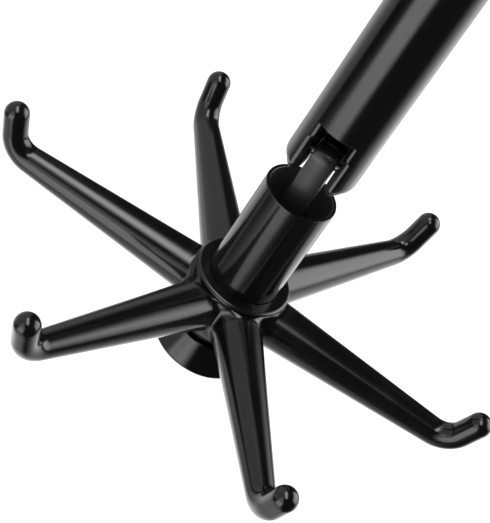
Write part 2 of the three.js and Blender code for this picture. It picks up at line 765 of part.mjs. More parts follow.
const mugTree = new THREE.Group();
mugTree.add(base, shoulder, arm, drop, rotor);

export default mugTree;
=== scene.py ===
"""Looks of the hanging mug tree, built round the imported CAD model. Metres, in the row frame."""

import json
import math

import bmesh
import bpy
import numpy as np
from mathutils import Matrix, Vector


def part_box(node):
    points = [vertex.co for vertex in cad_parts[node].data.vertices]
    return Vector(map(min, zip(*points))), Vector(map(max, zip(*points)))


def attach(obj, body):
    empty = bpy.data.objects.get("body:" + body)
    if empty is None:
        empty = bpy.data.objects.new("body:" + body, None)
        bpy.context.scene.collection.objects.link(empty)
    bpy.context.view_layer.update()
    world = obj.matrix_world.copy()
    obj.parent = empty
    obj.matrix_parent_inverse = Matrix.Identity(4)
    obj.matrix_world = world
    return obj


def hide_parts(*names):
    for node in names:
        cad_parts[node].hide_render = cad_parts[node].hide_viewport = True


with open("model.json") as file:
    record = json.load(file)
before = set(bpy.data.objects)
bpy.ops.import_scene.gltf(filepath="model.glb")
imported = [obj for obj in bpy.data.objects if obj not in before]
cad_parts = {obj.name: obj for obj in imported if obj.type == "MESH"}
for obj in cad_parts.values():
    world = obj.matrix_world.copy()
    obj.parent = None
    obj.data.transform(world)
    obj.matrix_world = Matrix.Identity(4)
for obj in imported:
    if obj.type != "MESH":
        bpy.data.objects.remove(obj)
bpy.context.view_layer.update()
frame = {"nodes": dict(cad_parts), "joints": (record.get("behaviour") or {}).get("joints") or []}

MM = 0.001
TAU = 2 * math.pi
X_AXIS = Matrix.Rotation(TAU / 4, 3, "Y")  # turns something made about Z to lie about X
FRONT = 0.75 * TAU  # the direction of -Y, as an angle about Z
OVERLAP = 1 * MM  # how far joined shapes run into each other, and cutters stand out of what they cut


# ---------- Places, read from the frame ----------

def joint_place(name):
    """The point that a joint turns about."""
    for joint in frame["joints"]:
        if joint["name"] == name:
            return Vector(joint["pos_m"])
    raise KeyError(name)


def heights(node):
    """Lowest and highest Z of a node."""
    low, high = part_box(node)
    return low.z, high.z


def spans_x(node):
    """Lowest and highest X of a node."""
    low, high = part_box(node)
    return low.x, high.x


def widest(node):
    """Radius of a node that is round about the tube's axis."""
    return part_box(node)[1].x


SHOULDER_Z = joint_place("shoulder_fold").z
ELBOW_Z = joint_place("elbow_fold").z
HOOK_Z = joint_place("rotor_spin").z
HOOK_COUNT = sum(name.startswith("hook_arm_") for name in frame["nodes"])

TUBE_RADIUS = widest("drop_tube")
TUBE_WALL = 1.35 * MM
PLUG_RADIUS = widest("elbow_fork")


# ---------- Outlines ----------

CORNER_SHARE = 0.48  # the most of an outline's side that one rounded corner may take up


def eased(corners, closed=False, steps=5):
    """Rounds an outline's corners. A corner is (a, b) or (a, b, radius)."""
    points = []
    count = len(corners)
    for i, corner in enumerate(corners):
        here = Vector(corner[:2])
        is_end = not closed and i in (0, count - 1)
        if len(corner) < 3 or is_end:
            points.append(here)
            continue
        before = Vector(corners[i - 1][:2]) - here
        after = Vector(corners[(i + 1) % count][:2]) - here
        half_angle = before.angle(after) / 2
        longest = CORNER_SHARE * min(before.length, after.length)
        reach = min(corner[2] / math.tan(half_angle), longest)
        start = here + before.normalized() * reach
        end = here + after.normalized() * reach
        points += curve(start, here, end, steps)
    return points


def curve(start, corner, end, steps):
    """A quadratic curve that leaves its start towards a corner, and reaches its end from there."""
    shares = [i / steps for i in range(steps + 1)]
    return [start * (1 - t) ** 2 + corner * 2 * t * (1 - t) + end * t ** 2 for t in shares]


def arc(middle_a, middle_b, radius, start, end, steps=12):
    """Points on a circle from one angle to another, in radians."""
    angles = [start + (end - start) * i / steps for i in range(steps + 1)]
    return [(middle_a + radius * math.cos(t), middle_b + radius * math.sin(t)) for t in angles]


def rod(radius, bottom, top, *ease):
    """The profile of a plain rod, with its ends eased where a radius is given."""
    return eased([(0, bottom), (radius, bottom, *ease), (radius, top, *ease), (0, top)])


def ring(inner, outer, bottom, top, ease, steps=5):
    """The outline of a plain ring with eased edges."""
    corners = [(inner, bottom), (outer, bottom), (outer, top), (inner, top)]
    return eased([(*corner, ease) for corner in corners], True, steps)


# ---------- Mesh makers: each returns a bmesh ----------

ON_AXIS = 0.0001 * MM  # a profile's point this near the axis is one vertex, not a ring


def turned(profile, closed=False, segments=160, turn=None):
    """A profile of (radius, height) points turned about Z, or about what `turn` maps Z to."""
    bm = bmesh.new()
    rings = []
    for radius, height in profile:
        if radius < ON_AXIS:
            rings.append([bm.verts.new((0, 0, height))])
            continue
        circle = arc(0, 0, radius, 0, TAU, segments)[:-1]
        rings.append([bm.verts.new((x, y, height)) for x, y in circle])
    pairs = list(zip(rings, rings[1:]))
    if closed:
        pairs.append((rings[-1], rings[0]))
    for lower, upper in pairs:
        join_rings(bm, lower, upper)
    bmesh.ops.recalc_face_normals(bm, faces=bm.faces)
    if turn is not None:
        bmesh.ops.transform(bm, matrix=turn.to_4x4(), verts=bm.verts)
    return bm


def lift(bm, height):
    """Moves a bmesh up."""
    bmesh.ops.translate(bm, verts=bm.verts, vec=(0, 0, height))


def turn_and_lift(bm, angle, axis, height):
    """Turns a bmesh about an axis through the origin, then moves it up."""
    turn = Matrix.Rotation(angle, 3, axis)
    bmesh.ops.rotate(bm, verts=bm.verts, cent=(0, 0, 0), matrix=turn)
    lift(bm, height)


def across_hinge(profile, hinge_z, closed=False, segments=96):
    """A profile of (radius, x) points turned about the line along X at a hinge's height."""
    bm = turned(profile, closed, segments, X_AXIS)
    lift(bm, hinge_z)
    return bm


def join_rings(bm, lower, upper):
    """Faces between two rings, either of which may be a single vertex."""
    for i in range(max(len(lower), len(upper))):
        corners = [
            lower[i % len(lower)],
            lower[(i + 1) % len(lower)],
            upper[(i + 1) % len(upper)],
            upper[i % len(upper)],
        ]
        unique = list(dict.fromkeys(corners))
        if len(unique) > 2:
            bm.faces.new(unique)


def lofted(outlines):
    """Outlines of (x, y, z) points, joined one to the next into a solid with closed ends."""
    bm = bmesh.new()
    rings = [[bm.verts.new(point) for point in outline] for outline in outlines]
    for near, far in zip(rings, rings[1:]):
        join_rings(bm, near, far)
    bm.faces.new(rings[0])
    bm.faces.new(rings[-1])
    bmesh.ops.recalc_face_normals(bm, faces=bm.faces)
    return bm


def slab(outline, x0, x1, ease):
    """An outline of (y, z) points as a slab from x0 to x1, with both edges eased."""
    bm = bmesh.new()
    near = [bm.verts.new((x0, y, z)) for y, z in outline]
    far = [bm.verts.new((x1, y, z)) for y, z in outline]
    caps = [bm.faces.new(near), bm.faces.new(far)]
    join_rings(bm, near, far)
    bmesh.ops.recalc_face_normals(bm, faces=bm.faces)
    rim = list({edge for cap in caps for edge in cap.edges})
    bmesh.ops.bevel(bm, geom=rim, offset=ease, segments=3, profile=0.5, affect="EDGES")
    return bm


def prism(outline, bottom, top):
    """An outline of (x, y) points as a solid from one height to another."""
    return lofted([[(x, y, z) for x, y in outline] for z in (bottom, top)])


CROWN_COLUMNS = 6  # from the middle of a tongue to its side
EASE_COLUMNS = 5


def crowned_tongue(radius, half_width, bottom, pivot, crown, ease):
    """A hinge tongue: straight from `bottom`, round about `pivot`, its faces a little convex."""
    inner = half_width - ease
    columns = [half_width * (i / CROWN_COLUMNS - 1) for i in range(2 * CROWN_COLUMNS + 1)]
    flat = [x for x in columns if abs(x) < inner]
    right = [inner + ease * math.sin(TAU / 4 * i / EASE_COLUMNS) for i in range(EASE_COLUMNS + 1)]
    left = [-x for x in reversed(right)]
    halfway = (bottom + pivot) / 2
    outlines = []
    for x in left + flat + right:
        past = max(abs(x) - inner, 0)
        inset = crown * (x / half_width) ** 2 + ease - math.sqrt(max(ease ** 2 - past ** 2, 0))
        r = radius - inset
        top = arc(0, pivot, r, 0, TAU / 2, 28)
        outline = [(-r, bottom), (r, bottom), (r, halfway), *top, (-r, halfway)]
        outlines.append([(x, y, z) for y, z in outline])
    return lofted(outlines)


def tube_sheet(levels, radius_at, opening_at, open_below):
    """The outside of a tube as a sheet. Below the height `open_below` it leaves out a window of half
    angle opening_at(z) about the front."""
    bm = bmesh.new()
    rows = []
    for z in levels:
        half = opening_at(z)
        wrap = arc(0, 0, radius_at(z), FRONT + half, FRONT + TAU - half, TUBE_COLUMNS)[:-1]
        across = arc(0, 0, radius_at(z), FRONT - half, FRONT + half, WINDOW_COLUMNS)[:-1]
        rows.append([bm.verts.new((x, y, z)) for x, y in wrap + across])
    for lower, upper in zip(rows, rows[1:]):
        is_open = (lower[0].co.z + upper[0].co.z) / 2 < open_below
        columns = TUBE_COLUMNS if is_open else TUBE_COLUMNS + WINDOW_COLUMNS
        for i in range(columns):
            j = (i + 1) % len(lower)
            bm.faces.new((lower[i], lower[j], upper[j], upper[i]))
    loose = [v for v in bm.verts if not v.link_faces]
    bmesh.ops.delete(bm, geom=loose, context="VERTS")
    return bm


def mesh_from(name, bm):
    """A bmesh as a mesh. The bmesh is used up."""
    mesh = bpy.data.meshes.new(name)
    bm.to_mesh(mesh)
    bm.free()
    return mesh


def joined(*parts):
    """Several bmeshes as one."""
    whole = bmesh.new()
    for part in parts:
        mesh = mesh_from("part", part)
        whole.from_mesh(mesh)
        bpy.data.meshes.remove(mesh)
    return whole


# ---------- Making pieces ----------

def add_object(name, data):
    """Puts a mesh, camera or light into the scene."""
    thing = bpy.data.objects.new(name, data)
    bpy.context.scene.collection.objects.link(thing)
    return thing


def add_piece(name, bm, body, look, node, sharp_degrees=38, normals=None):
    """Puts a bmesh into the scene as a piece that rides on a body, in place of a node."""
    bm.normal_update()
    mesh = mesh_from(name, bm)
    mesh.shade_smooth()
    if normals is None:
        mesh.set_sharp_from_angle(angle=math.radians(sharp_degrees))
    else:
        mesh.normals_split_custom_set_from_vertices(normals)
    piece = add_object(name, mesh)
    if normals is None:
        weighted = piece.modifiers.new("weighted_normals", "WEIGHTED_NORMAL")
        weighted.keep_sharp = True
    dress(piece, look)
    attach(piece, body)
    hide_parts(node)
    return piece


def add_turned(name, profile, body, look, node, closed=False):
    """A piece turned about the tube's axis. A closed profile makes a ring."""
    add_piece(name, turned(profile, closed), body, look, node)


def dress(piece, look):
    """Gives a piece the material of one of the looks."""
    slot, material = LOOKS[look]
    piece.data.materials.clear()
    piece.data.materials.append(material)


def cut(bm, cutters):
    """A bmesh less the cutters, by exact booleans."""
    target = add_object("target", mesh_from("target", bm))
    tools = []
    for cutter in cutters:
        tool = add_object("tool", mesh_from("tool", cutter))
        tools.append(tool)
        boolean = target.modifiers.new("cut", "BOOLEAN")
        boolean.operation = "DIFFERENCE"
        boolean.solver = "EXACT"
        boolean.object = tool
    result = bmesh.new()
    result.from_object(target, bpy.context.evaluated_depsgraph_get())
    for scrap in [target, *tools]:
        mesh = scrap.data
        bpy.data.objects.remove(scrap)
        bpy.data.meshes.remove(mesh)
    return result


# ---------- Materials ----------

# Scales of noise, in lumps per metre.
SMEARS_SCALE = 55
WAVES_SCALE = 260
GRAINS_SCALE = 1800
CLOUDS_SCALE = 180
TURNING_MARKS_SCALE = 900
STAINS_SCALE = 120
NYLON_GRAINS_SCALE = 2500
FOAM_CELLS_SCALE = 1600
FOAM_MOTTLES_SCALE = 400
FIBRES_SCALE = 90
PAPER_GRAINS_SCALE = 700

# Colours in pairs, and roughness from smooth to rough.
EDGE_POINTINESS = (0.53, 0.62)  # from where wear begins to where an edge is fully worn
MOST_WORN = 0.5
WORN_BLACK = (0.02, 0.02, 0.022)
STEEL_ROUGHNESS = (0.22, 0.38)
NYLON_COLOURS = ((0.78, 0.76, 0.70), (0.84, 0.82, 0.78))
NYLON_ROUGHNESS = (0.38, 0.55)
FOAM_COLOURS = ((0.045, 0.046, 0.05), (0.09, 0.09, 0.095))
FOAM_ROUGHNESS = (0.8, 0.95)
PAPER_COLOURS = ((0.965, 0.965, 0.965), (0.985, 0.985, 0.985))
PAPER_ROUGHNESS = (0.8, 0.9)


def set_inputs(node, **values):
    """Sets a node's inputs by name: from_min is From Min."""
    for name, value in values.items():
        node.inputs[name.replace("_", " ").title()].default_value = value


def map_range(tree, source, from_min, from_max, to_min, to_max):
    """Maps a value's range smoothly to another range."""
    node = tree.nodes.new("ShaderNodeMapRange")
    node.interpolation_type = "SMOOTHSTEP"
    set_inputs(node, from_min=from_min, from_max=from_max, to_min=to_min, to_max=to_max)
    tree.links.new(source, node.inputs["Value"])
    return node.outputs["Result"]


class Nodes:
    """Short names for building a material's nodes."""

    def __init__(self, name):
        self.material = bpy.data.materials.new(name)
        self.material.use_nodes = True
        self.tree = self.material.node_tree
        self.shader = self.tree.nodes["Principled BSDF"]
        self.place = self.tree.nodes.new("ShaderNodeTexCoord").outputs["Object"]

    def link(self, source, target):
        self.tree.links.new(source, target)

    def feed(self, **inputs):
        """Links a source to each of the shader's inputs that is named, as in base_color."""
        for name, source in inputs.items():
            self.link(source, self.shader.inputs[name.replace("_", " ").title()])

    def noise(self, scale, detail=4.0, roughness=0.55, stretch=(1, 1, 1)):
        """Noise of that many lumps per metre, stretched along an axis where asked."""
        mapping = self.tree.nodes.new("ShaderNodeMapping")
        set_inputs(mapping, scale=stretch)
        self.link(self.place, mapping.inputs["Vector"])
        node = self.tree.nodes.new("ShaderNodeTexNoise")
        set_inputs(node, scale=scale, detail=detail, roughness=roughness)
        self.link(mapping.outputs["Vector"], node.inputs["Vector"])
        return node.outputs["Fac"]

    def ramp(self, source, low, high, from_low=0.35, from_high=0.65):
        """Maps a value's middle range to a range of its own."""
        return map_range(self.tree, source, from_low, from_high, low, high)

    def blend(self, factor, first, second):
        """Mixes two colours."""
        node = self.tree.nodes.new("ShaderNodeMix")
        node.data_type = "RGBA"
        set_inputs(node, a=(*first, 1), b=(*second, 1))
        self.link(factor, node.inputs["Factor"])
        return node.outputs["Result"]

    def bump(self, height, distance, strength, under=None):
        """Adds a bump on top of another."""
        node = self.tree.nodes.new("ShaderNodeBump")
        set_inputs(node, distance=distance, strength=strength)
        self.link(height, node.inputs["Height"])
        if under is not None:
            self.link(under, node.inputs["Normal"])
        return node.outputs["Normal"]

    def mottled(self, mottle, colours, roughness, height, depth, strength):
        """The material with two colours and two roughnesses mixed by a mottle, and a fine bump."""
        self.feed(
            base_color=self.blend(mottle, *colours),
            roughness=self.ramp(mottle, *roughness),
            normal=self.bump(height, depth, strength),
        )
        return self.material

    def edges(self):
        """0 on open surfaces, rising to 1 along sharp outer edges."""
        geometry = self.tree.nodes.new("ShaderNodeNewGeometry")
        return self.ramp(geometry.outputs["Pointiness"], 0, 1, *EDGE_POINTINESS)


def black_finish(name, shade, roughness, orange_peel, grain):
    """A black moulding or paint: finger smears in the gloss, a faint waviness, paler worn edges."""
    nodes = Nodes(name)
    grey, blue = shade
    worn = nodes.ramp(nodes.edges(), 0, MOST_WORN, 0, 1)
    smears = nodes.noise(SMEARS_SCALE, detail=5, roughness=0.6, stretch=(1, 1, 0.6))
    wavy = nodes.bump(nodes.noise(WAVES_SCALE, detail=2), 0.02 * MM, orange_peel)
    nodes.feed(
        base_color=nodes.blend(worn, (grey, grey, blue), WORN_BLACK),
        roughness=nodes.ramp(smears, *roughness),
        normal=nodes.bump(nodes.noise(GRAINS_SCALE, detail=2), 0.01 * MM, grain, wavy),
    )
    return nodes.material


def turned_steel(name, *colours):
    """Steel with fine turning marks and a cloudy sheen between two colours."""
    nodes = Nodes(name)
    clouds = nodes.noise(CLOUDS_SCALE)
    marks = nodes.noise(TURNING_MARKS_SCALE, detail=2, roughness=0.5, stretch=(6, 1, 1))
    set_inputs(nodes.shader, metallic=1.0)
    return nodes.mottled(clouds, colours, STEEL_ROUGHNESS, marks, 0.02 * MM, 0.5)


def natural_nylon():
    """Milky white nylon, a little uneven where it has been handled."""
    nodes = Nodes("natural_nylon")
    stain = nodes.noise(STAINS_SCALE)
    grain = nodes.noise(NYLON_GRAINS_SCALE, detail=2)
    set_inputs(nodes.shader, subsurface_weight=0.15, subsurface_scale=1 * MM)
    return nodes.mottled(stain, NYLON_COLOURS, NYLON_ROUGHNESS, grain, 0.02 * MM, 0.4)


def foam_tape():
    """Dark closed-cell foam: small cells, matt."""
    nodes = Nodes("foam_tape")
    cells = nodes.tree.nodes.new("ShaderNodeTexVoronoi")
    set_inputs(cells, scale=FOAM_CELLS_SCALE)
    nodes.link(nodes.place, cells.inputs["Vector"])
    mottle = nodes.noise(FOAM_MOTTLES_SCALE, detail=5)
    holes = cells.outputs["Distance"]
    return nodes.mottled(mottle, FOAM_COLOURS, FOAM_ROUGHNESS, holes, 0.15 * MM, 0.8)


def background_paper():
    """Matt white background paper, very slightly uneven."""
    nodes = Nodes("background_paper")
    fibres = nodes.noise(FIBRES_SCALE, detail=5)
    grain = nodes.noise(PAPER_GRAINS_SCALE, detail=3)
    return nodes.mottled(fibres, PAPER_COLOURS, PAPER_ROUGHNESS, grain, 0.05 * MM, 0.3)


# Each black look: the record's material slot, the material's name, its grey and its blue, its roughness
# (wiped clean, smeared), its orange peel and its grain.
BLACKS = {
    "moulding": ("gloss_black_plastic", "gloss_black_moulding", (0.0024, 0.0026), (0.13, 0.19), 0.25, 0.1),
    "paint": ("gloss_black_paint", "gloss_black_paint", (0.0024, 0.0025), (0.12, 0.17), 0.4, 0.1),
    "satin": ("satin_black_plastic", "satin_black_nylon", (0.003, 0.0032), (0.26, 0.36), 0.2, 0.8),
    # bar: its paler grey is a painted reflection. It stands in for the light that the tongue's front
    # mirrors; otherwise it is the satin black nylon.
    "bar": ("satin_black_plastic", "polished_nylon_painted_reflection", (0.008, 0.0084), (0.22, 0.34), 0.9, 0.6),
    "disc": ("gloss_black_plastic", "brushed_black_moulding", (0.0026, 0.0028), (0.19, 0.27), 0.3, 0.5),
    # bore: its paler grey is painted light. It stands in for the light inside the tube, on the same black
    # paint as the outside.
    "bore": ("gloss_black_paint", "tube_bore_painted_light", (0.035, 0.037), (0.45, 0.6), 0.4, 0.8),
    "cut_edge": ("gloss_black_paint", "dull_cut_edge", (0.13, 0.135), (0.5, 0.7), 0.4, 0.8),
}
LOOKS = {look: (slot, black_finish(*finish)) for look, (slot, *finish) in BLACKS.items()}
LOOKS["steel"] = ("zinc_steel", turned_steel("zinc_steel", (0.52, 0.53, 0.56), (0.68, 0.69, 0.70)))
LOOKS["dark_steel"] = ("zinc_steel", turned_steel("oiled_steel", (0.10, 0.10, 0.11), (0.17, 0.17, 0.18)))
LOOKS["nylon"] = ("white_nylon", natural_nylon())
LOOKS["foam"] = ("grey_foam", foam_tape())


# ---------- Tubes and elbow ----------

TUBE_EDGE = 0.3 * MM
TUBE_COLUMNS = 150  # round the tube, from one side of the window to the other
WINDOW_COLUMNS = 24  # across the window
WINDOW_WIDE = 7.76 * MM  # half widths on the outside of the tube
WINDOW_NARROW = 6.95 * MM
WINDOW_STEP = (9.3 * MM, 10.7 * MM)  # above the elbow hinge, where the wide part closes in
WINDOW_TOP = 16.6 * MM
WINDOW_CORNER = 0.8 * MM
ROLL_HEIGHT = 2 * MM  # of the arm tube's rolled lower end
ROLL_DEPTH = 0.55 * MM
ROLL_SHARE = 0.9  # how much of its quarter circle the roll goes through, in height
TUBE_EDGE_ANGLE = math.radians(50)  # sharper edges than this are broken
NEVER_SHARP = 180  # degrees


def tube_shell(name, node, body, rim_look, levels, radius_at, opening_at, open_below):
    """A tube with real wall thickness, slightly broken edges, and a bore in a paler grey that is painted
    light inside the tube.
    """
    sheet = tube_sheet(levels, radius_at, opening_at, open_below)
    piece = add_piece(name, sheet, body, "paint", node, NEVER_SHARP)
    # the bore's paler grey is painted light inside the tube
    piece.data.materials.append(LOOKS["bore"][1])
    piece.data.materials.append(LOOKS[rim_look][1])
    wall = piece.modifiers.new("wall", "SOLIDIFY")
    wall.thickness = TUBE_WALL
    wall.offset = -1
    wall.use_even_offset = True
    wall.material_offset = 1
    wall.material_offset_rim = 2
    edge = piece.modifiers.new("edge", "BEVEL")
    edge.width = TUBE_EDGE
    edge.segments = 3
    edge.limit_method = "ANGLE"
    edge.angle_limit = TUBE_EDGE_ANGLE
    piece.modifiers.move(0, 2)  # the weighted normals come last


def window_half_width(z):
    """Half width of the arm tube's window at a height above the elbow hinge: wide below, narrow above."""
    low, high = WINDOW_STEP
    share = min(max((z - low) / (high - low), 0), 1)
    half = WINDOW_WIDE + (WINDOW_NARROW - WINDOW_WIDE) * share ** 2 * (3 - 2 * share)
    into_corner = min(max(z - (WINDOW_TOP - WINDOW_CORNER), 0), WINDOW_CORNER)
    return half - WINDOW_CORNER + math.sqrt(WINDOW_CORNER ** 2 - into_corner ** 2)


def arm_tube():
    """The tube between the hinges: rolled in at its lower end, with a stepped window at the elbow."""
    bottom, top = heights("arm_tube")

    def radius_at(z):
        share = ROLL_SHARE * min(max(1 - (z - bottom) / ROLL_HEIGHT, 0), 1)
        return TUBE_RADIUS - ROLL_DEPTH * (1 - math.sqrt(1 - share ** 2))

    def opening_at(z):
        return math.asin(window_half_width(z - ELBOW_Z) / TUBE_RADIUS)

    rolled = [bottom + ROLL_HEIGHT * i / 8 for i in range(9)]
    low, high = WINDOW_STEP
    stepped = [ELBOW_Z + low + (high - low) * i / 8 for i in range(9)]
    window_top = ELBOW_Z + WINDOW_TOP
    corner = [window_top - WINDOW_CORNER * math.cos(TAU / 4 * i / 6) for i in range(7)]
    levels = [*rolled, *stepped, *corner, top]
    tube_shell("arm_tube_shell", "arm_tube", "arm", "cut_edge", levels, radius_at, opening_at, window_top)


def drop_tube():
    """The short tube under the elbow. It has no window, so its columns are spaced evenly."""
    bottom, top = heights("drop_tube")
    half = WINDOW_COLUMNS / (TUBE_COLUMNS + WINDOW_COLUMNS) * TAU / 2
    tube_shell(
        "drop_tube_shell", "drop_tube", "drop", "paint",
        [bottom, top], lambda z: TUBE_RADIUS, lambda z: half, bottom,
    )


TONGUE_RADIUS = 4.9 * MM
TONGUE_HALF_WIDTH = 4.15 * MM
TONGUE_CROWN = 0.6 * MM
TONGUE_EASE = 0.35 * MM
TONGUE_PLUG_HEIGHT = 28 * MM  # of the plug in the drop tube
PLUG_EASE = 0.4 * MM


def elbow_tongue():
    """The bar that swings in the fork, on its plug in the drop tube."""
    bottom, _ = heights("elbow_tongue")
    plug_top = bottom + TONGUE_PLUG_HEIGHT
    bar = crowned_tongue(
        TONGUE_RADIUS, TONGUE_HALF_WIDTH, plug_top - OVERLAP, ELBOW_Z, TONGUE_CROWN, TONGUE_EASE,
    )
    plug = turned(rod(PLUG_RADIUS, bottom, plug_top, PLUG_EASE))
    # the bar's paler grey is a painted reflection of light on the tongue's front
    add_piece("elbow_tongue_bar", joined(bar, plug), "drop", "bar", "elbow_tongue")


CHEEK_INSIDE = 4.7 * MM
CHEEK_STRAIGHT_END = 0.5 * MM  # along Y, just behind the pin
CHEEK_LIP = (5.15 * MM, -5.5 * MM)  # x and y where the slight draft ends and the open mouth starts
CHEEK_MOUTH = 0.83  # how much wider the mouth gets towards the front
PIN_SLOT_REACH = 5.9 * MM
PIN_SLOT_HALF = 1.5 * MM
PIN_SLOT_SLOPE = math.radians(40)
PIN_SLOT_EASE = 0.01 * MM
PIN_RADIUS = 1.25 * MM
PIN_EASE = 0.3 * MM
FORK_EASE = 0.5 * MM
FORK_BACK_GAP = 0.3 * MM  # from the knuckle to the back wall
FORK_PLUG_BOTTOM = 20 * MM  # above the hinge


def elbow_fork():
    """The insert in the arm tube: cheeks beside the tongue, a back wall behind it, a plug above."""
    bottom, top = heights("elbow_fork")
    body = turned(rod(PLUG_RADIUS, bottom, top, FORK_EASE))
    throat = prism(throat_plan(), bottom - OVERLAP, ELBOW_Z + FORK_PLUG_BOTTOM)
    add_piece("elbow_fork_insert", cut(body, [throat, pin_slot()]), "arm", "satin", "elbow_fork")


def throat_plan():
    """The room between the cheeks in (x, y): straight beside the knuckle, then wider to the front."""
    back = TONGUE_RADIUS + FORK_BACK_GAP
    front = -2 * TUBE_RADIUS
    lip_x, lip_y = CHEEK_LIP
    mouth = lip_x + CHEEK_MOUTH * (lip_y - front)
    right = [(CHEEK_INSIDE, back), (CHEEK_INSIDE, CHEEK_STRAIGHT_END), (lip_x, lip_y), (mouth, front)]
    return right + [(-x, y) for x, y in reversed(right)]


def pin_slot():
    """The slot that the pin drops into, sloping up from it to the front through both cheeks."""
    front = -2 * TUBE_RADIUS
    half = PIN_SLOT_HALF
    outline = [(front, -half), (0, -half), (0, half), (front, half)]
    slot = slab(outline, -PIN_SLOT_REACH, PIN_SLOT_REACH, PIN_SLOT_EASE)
    turn_and_lift(slot, -PIN_SLOT_SLOPE, "X", ELBOW_Z)
    return slot


def elbow_pin():
    """The plain pin that the elbow turns on."""
    left, right = spans_x("elbow_pin")
    pin = across_hinge(rod(PIN_RADIUS, left, right, PIN_EASE), ELBOW_Z, segments=48)
    add_piece("elbow_pin_bar", pin, "arm", "dark_steel", "elbow_pin")


# ---------- Rotor ----------

HUB_RADIUS = 16.4 * MM  # of the barrel between the arms
HUB_FOOT_RADIUS = 13.7 * MM
HUB_FOOT_HEIGHT = 4 * MM
HUB_ROUND = 1.5 * MM
HUB_TOP = 8.4 * MM  # above the plane of the arms, under the flange
FILLET = 1.5 * MM
SOCKET_END = 18.45 * MM  # axis to where an arm leaves its socket
TAPER = 0.0564  # radius lost per length of arm
BEND_START = 80.37 * MM
BEND_START_RADIUS = 4.784 * MM
BEND_RADIUS = 9.5 * MM
BEND_ANGLE = math.radians(71)
TIP_LENGTH = 7.1 * MM
TIP_RADIUS = 4.32 * MM
BORE_RADIUS = 12.62 * MM  # round the drop tube
BORE_FLOOR = 6.5 * MM
NET_CELL = 0.42 * MM  # grid on which the hub's surface is found
LEAST_SLOPE = 1e-6  # keeps a step along the gradient finite


def hook_angle(i):
    """Direction of the i-th arm at rest, seen from above: an arm is alike on both sides of its plane."""
    points = [vert.co for vert in frame["nodes"][f"hook_arm_{i + 1}"].data.vertices]
    middle = sum(points, Vector()) / len(points)
    return math.atan2(middle.y, middle.x)


HOOK_ANGLES = [hook_angle(i) for i in range(HOOK_COUNT)]


def round_least(a, b, radius):
    """The smaller of two distances, with a fillet of that radius where they meet."""
    past = np.hypot(np.maximum(radius - a, 0), np.maximum(radius - b, 0))
    return np.maximum(radius, np.minimum(a, b)) - past


def round_most(a, b, radius):
    """The larger of two distances, with a rounding of that radius where they meet."""
    return -round_least(-a, -b, radius)


def rotor_field(x, y, z):
    """Signed distance, in metres, to the hub's barrel with the roots of its arms grown into it.
    z is measured from the plane of the arms."""
    radius = np.hypot(x, y)
    bottom = heights("hub")[0] - HOOK_Z
    slope = math.atan2(HUB_FOOT_HEIGHT, HUB_RADIUS - HUB_FOOT_RADIUS)
    foot = (radius - HUB_FOOT_RADIUS) * math.sin(slope) - (z - bottom) * math.cos(slope)
    field = radius - HUB_RADIUS
    for side in (foot, bottom - z, z - HUB_TOP):
        field = round_most(field, side, HUB_ROUND)
    for angle in HOOK_ANGLES:
        along = x * math.cos(angle) + y * math.sin(angle)
        across = np.hypot(y * math.cos(angle) - x * math.sin(angle), z)
        arm = np.where(along > 0, across - arm_radius(along), radius)
        field = round_least(field, arm, FILLET)
    return np.maximum(field, -np.maximum(radius - BORE_RADIUS, BORE_FLOOR - z))


def arm_radius(along):
    """Radius of an arm's straight part at a distance from the hub's axis."""
    return BEND_START_RADIUS + TAPER * (BEND_START - along)


def surface_net(field, low, cell, counts):
    """Quads over the zero surface of a field, sampled on a grid: (points, quads)."""
    axes = [low[k] + cell * np.arange(counts[k]) for k in range(3)]
    values = field(*np.meshgrid(*axes, indexing="ij"))
    points, index = net_points(values)
    return np.array(low) + cell * points, net_quads(values < 0, index)


def cell_edges():
    """The twelve edges of a grid cell: each one's axis, first corner and last corner."""
    for axis in range(3):
        side_a, side_b = (k for k in range(3) if k != axis)
        for shift_a, shift_b in ((0, 0), (0, 1), (1, 0), (1, 1)):
            first = np.zeros(3, int)
            first[side_a] = shift_a
            first[side_b] = shift_b
            last = first.copy()
            last[axis] = 1
            yield axis, first, last


def net_points(values):
    """A point for each cell that the surface crosses, in grid steps, and every cell's point index."""
    cells = tuple(n - 1 for n in values.shape)
    grid = np.stack(np.indices(cells), -1).astype(float)
    total = np.zeros((*cells, 3))
    crossings = np.zeros(cells)
    for axis, first_corner, last_corner in cell_edges():
        first = values[tuple(slice(k, k + n) for k, n in zip(first_corner, cells))]
        last = values[tuple(slice(k, k + n) for k, n in zip(last_corner, cells))]
        crossed = (first < 0) != (last < 0)
        share = np.where(crossed, first / np.where(crossed, first - last, 1), 0)
        point = grid + first_corner
        point[..., axis] += share
        total += np.where(crossed[..., None], point, 0)
        crossings += crossed
    used = crossings > 0
    index = -np.ones(cells, int)
    index[used] = np.arange(used.sum())
    return total[used] / crossings[used][:, None], index


def net_quads(inside, index):
    """A quad round each grid edge that goes through the surface, all facing the same way."""
    cells = index.shape
    quads = []
    for axis in range(3):
        b, c = (axis + 1) % 3, (axis + 2) % 3
        first = np.take(inside, range(cells[axis]), axis)
        last = np.take(inside, range(1, cells[axis] + 1), axis)
        edge = np.argwhere(first != last)
        for side in (b, c):
            edge = edge[(edge[:, side] > 0) & (edge[:, side] < cells[side])]
        around = []
        for step_b, step_c in ((1, 1), (0, 1), (0, 0), (1, 0)):
            place = edge.copy()
            place[:, b] -= step_b
            place[:, c] -= step_c
            around.append(index[tuple(place.T)])
        quad = np.stack(around, 1)
        leaving = inside[tuple(edge.T)]
        quad[~leaving] = quad[~leaving][:, ::-1]
        quads.append(quad)
    return np.concatenate(quads)


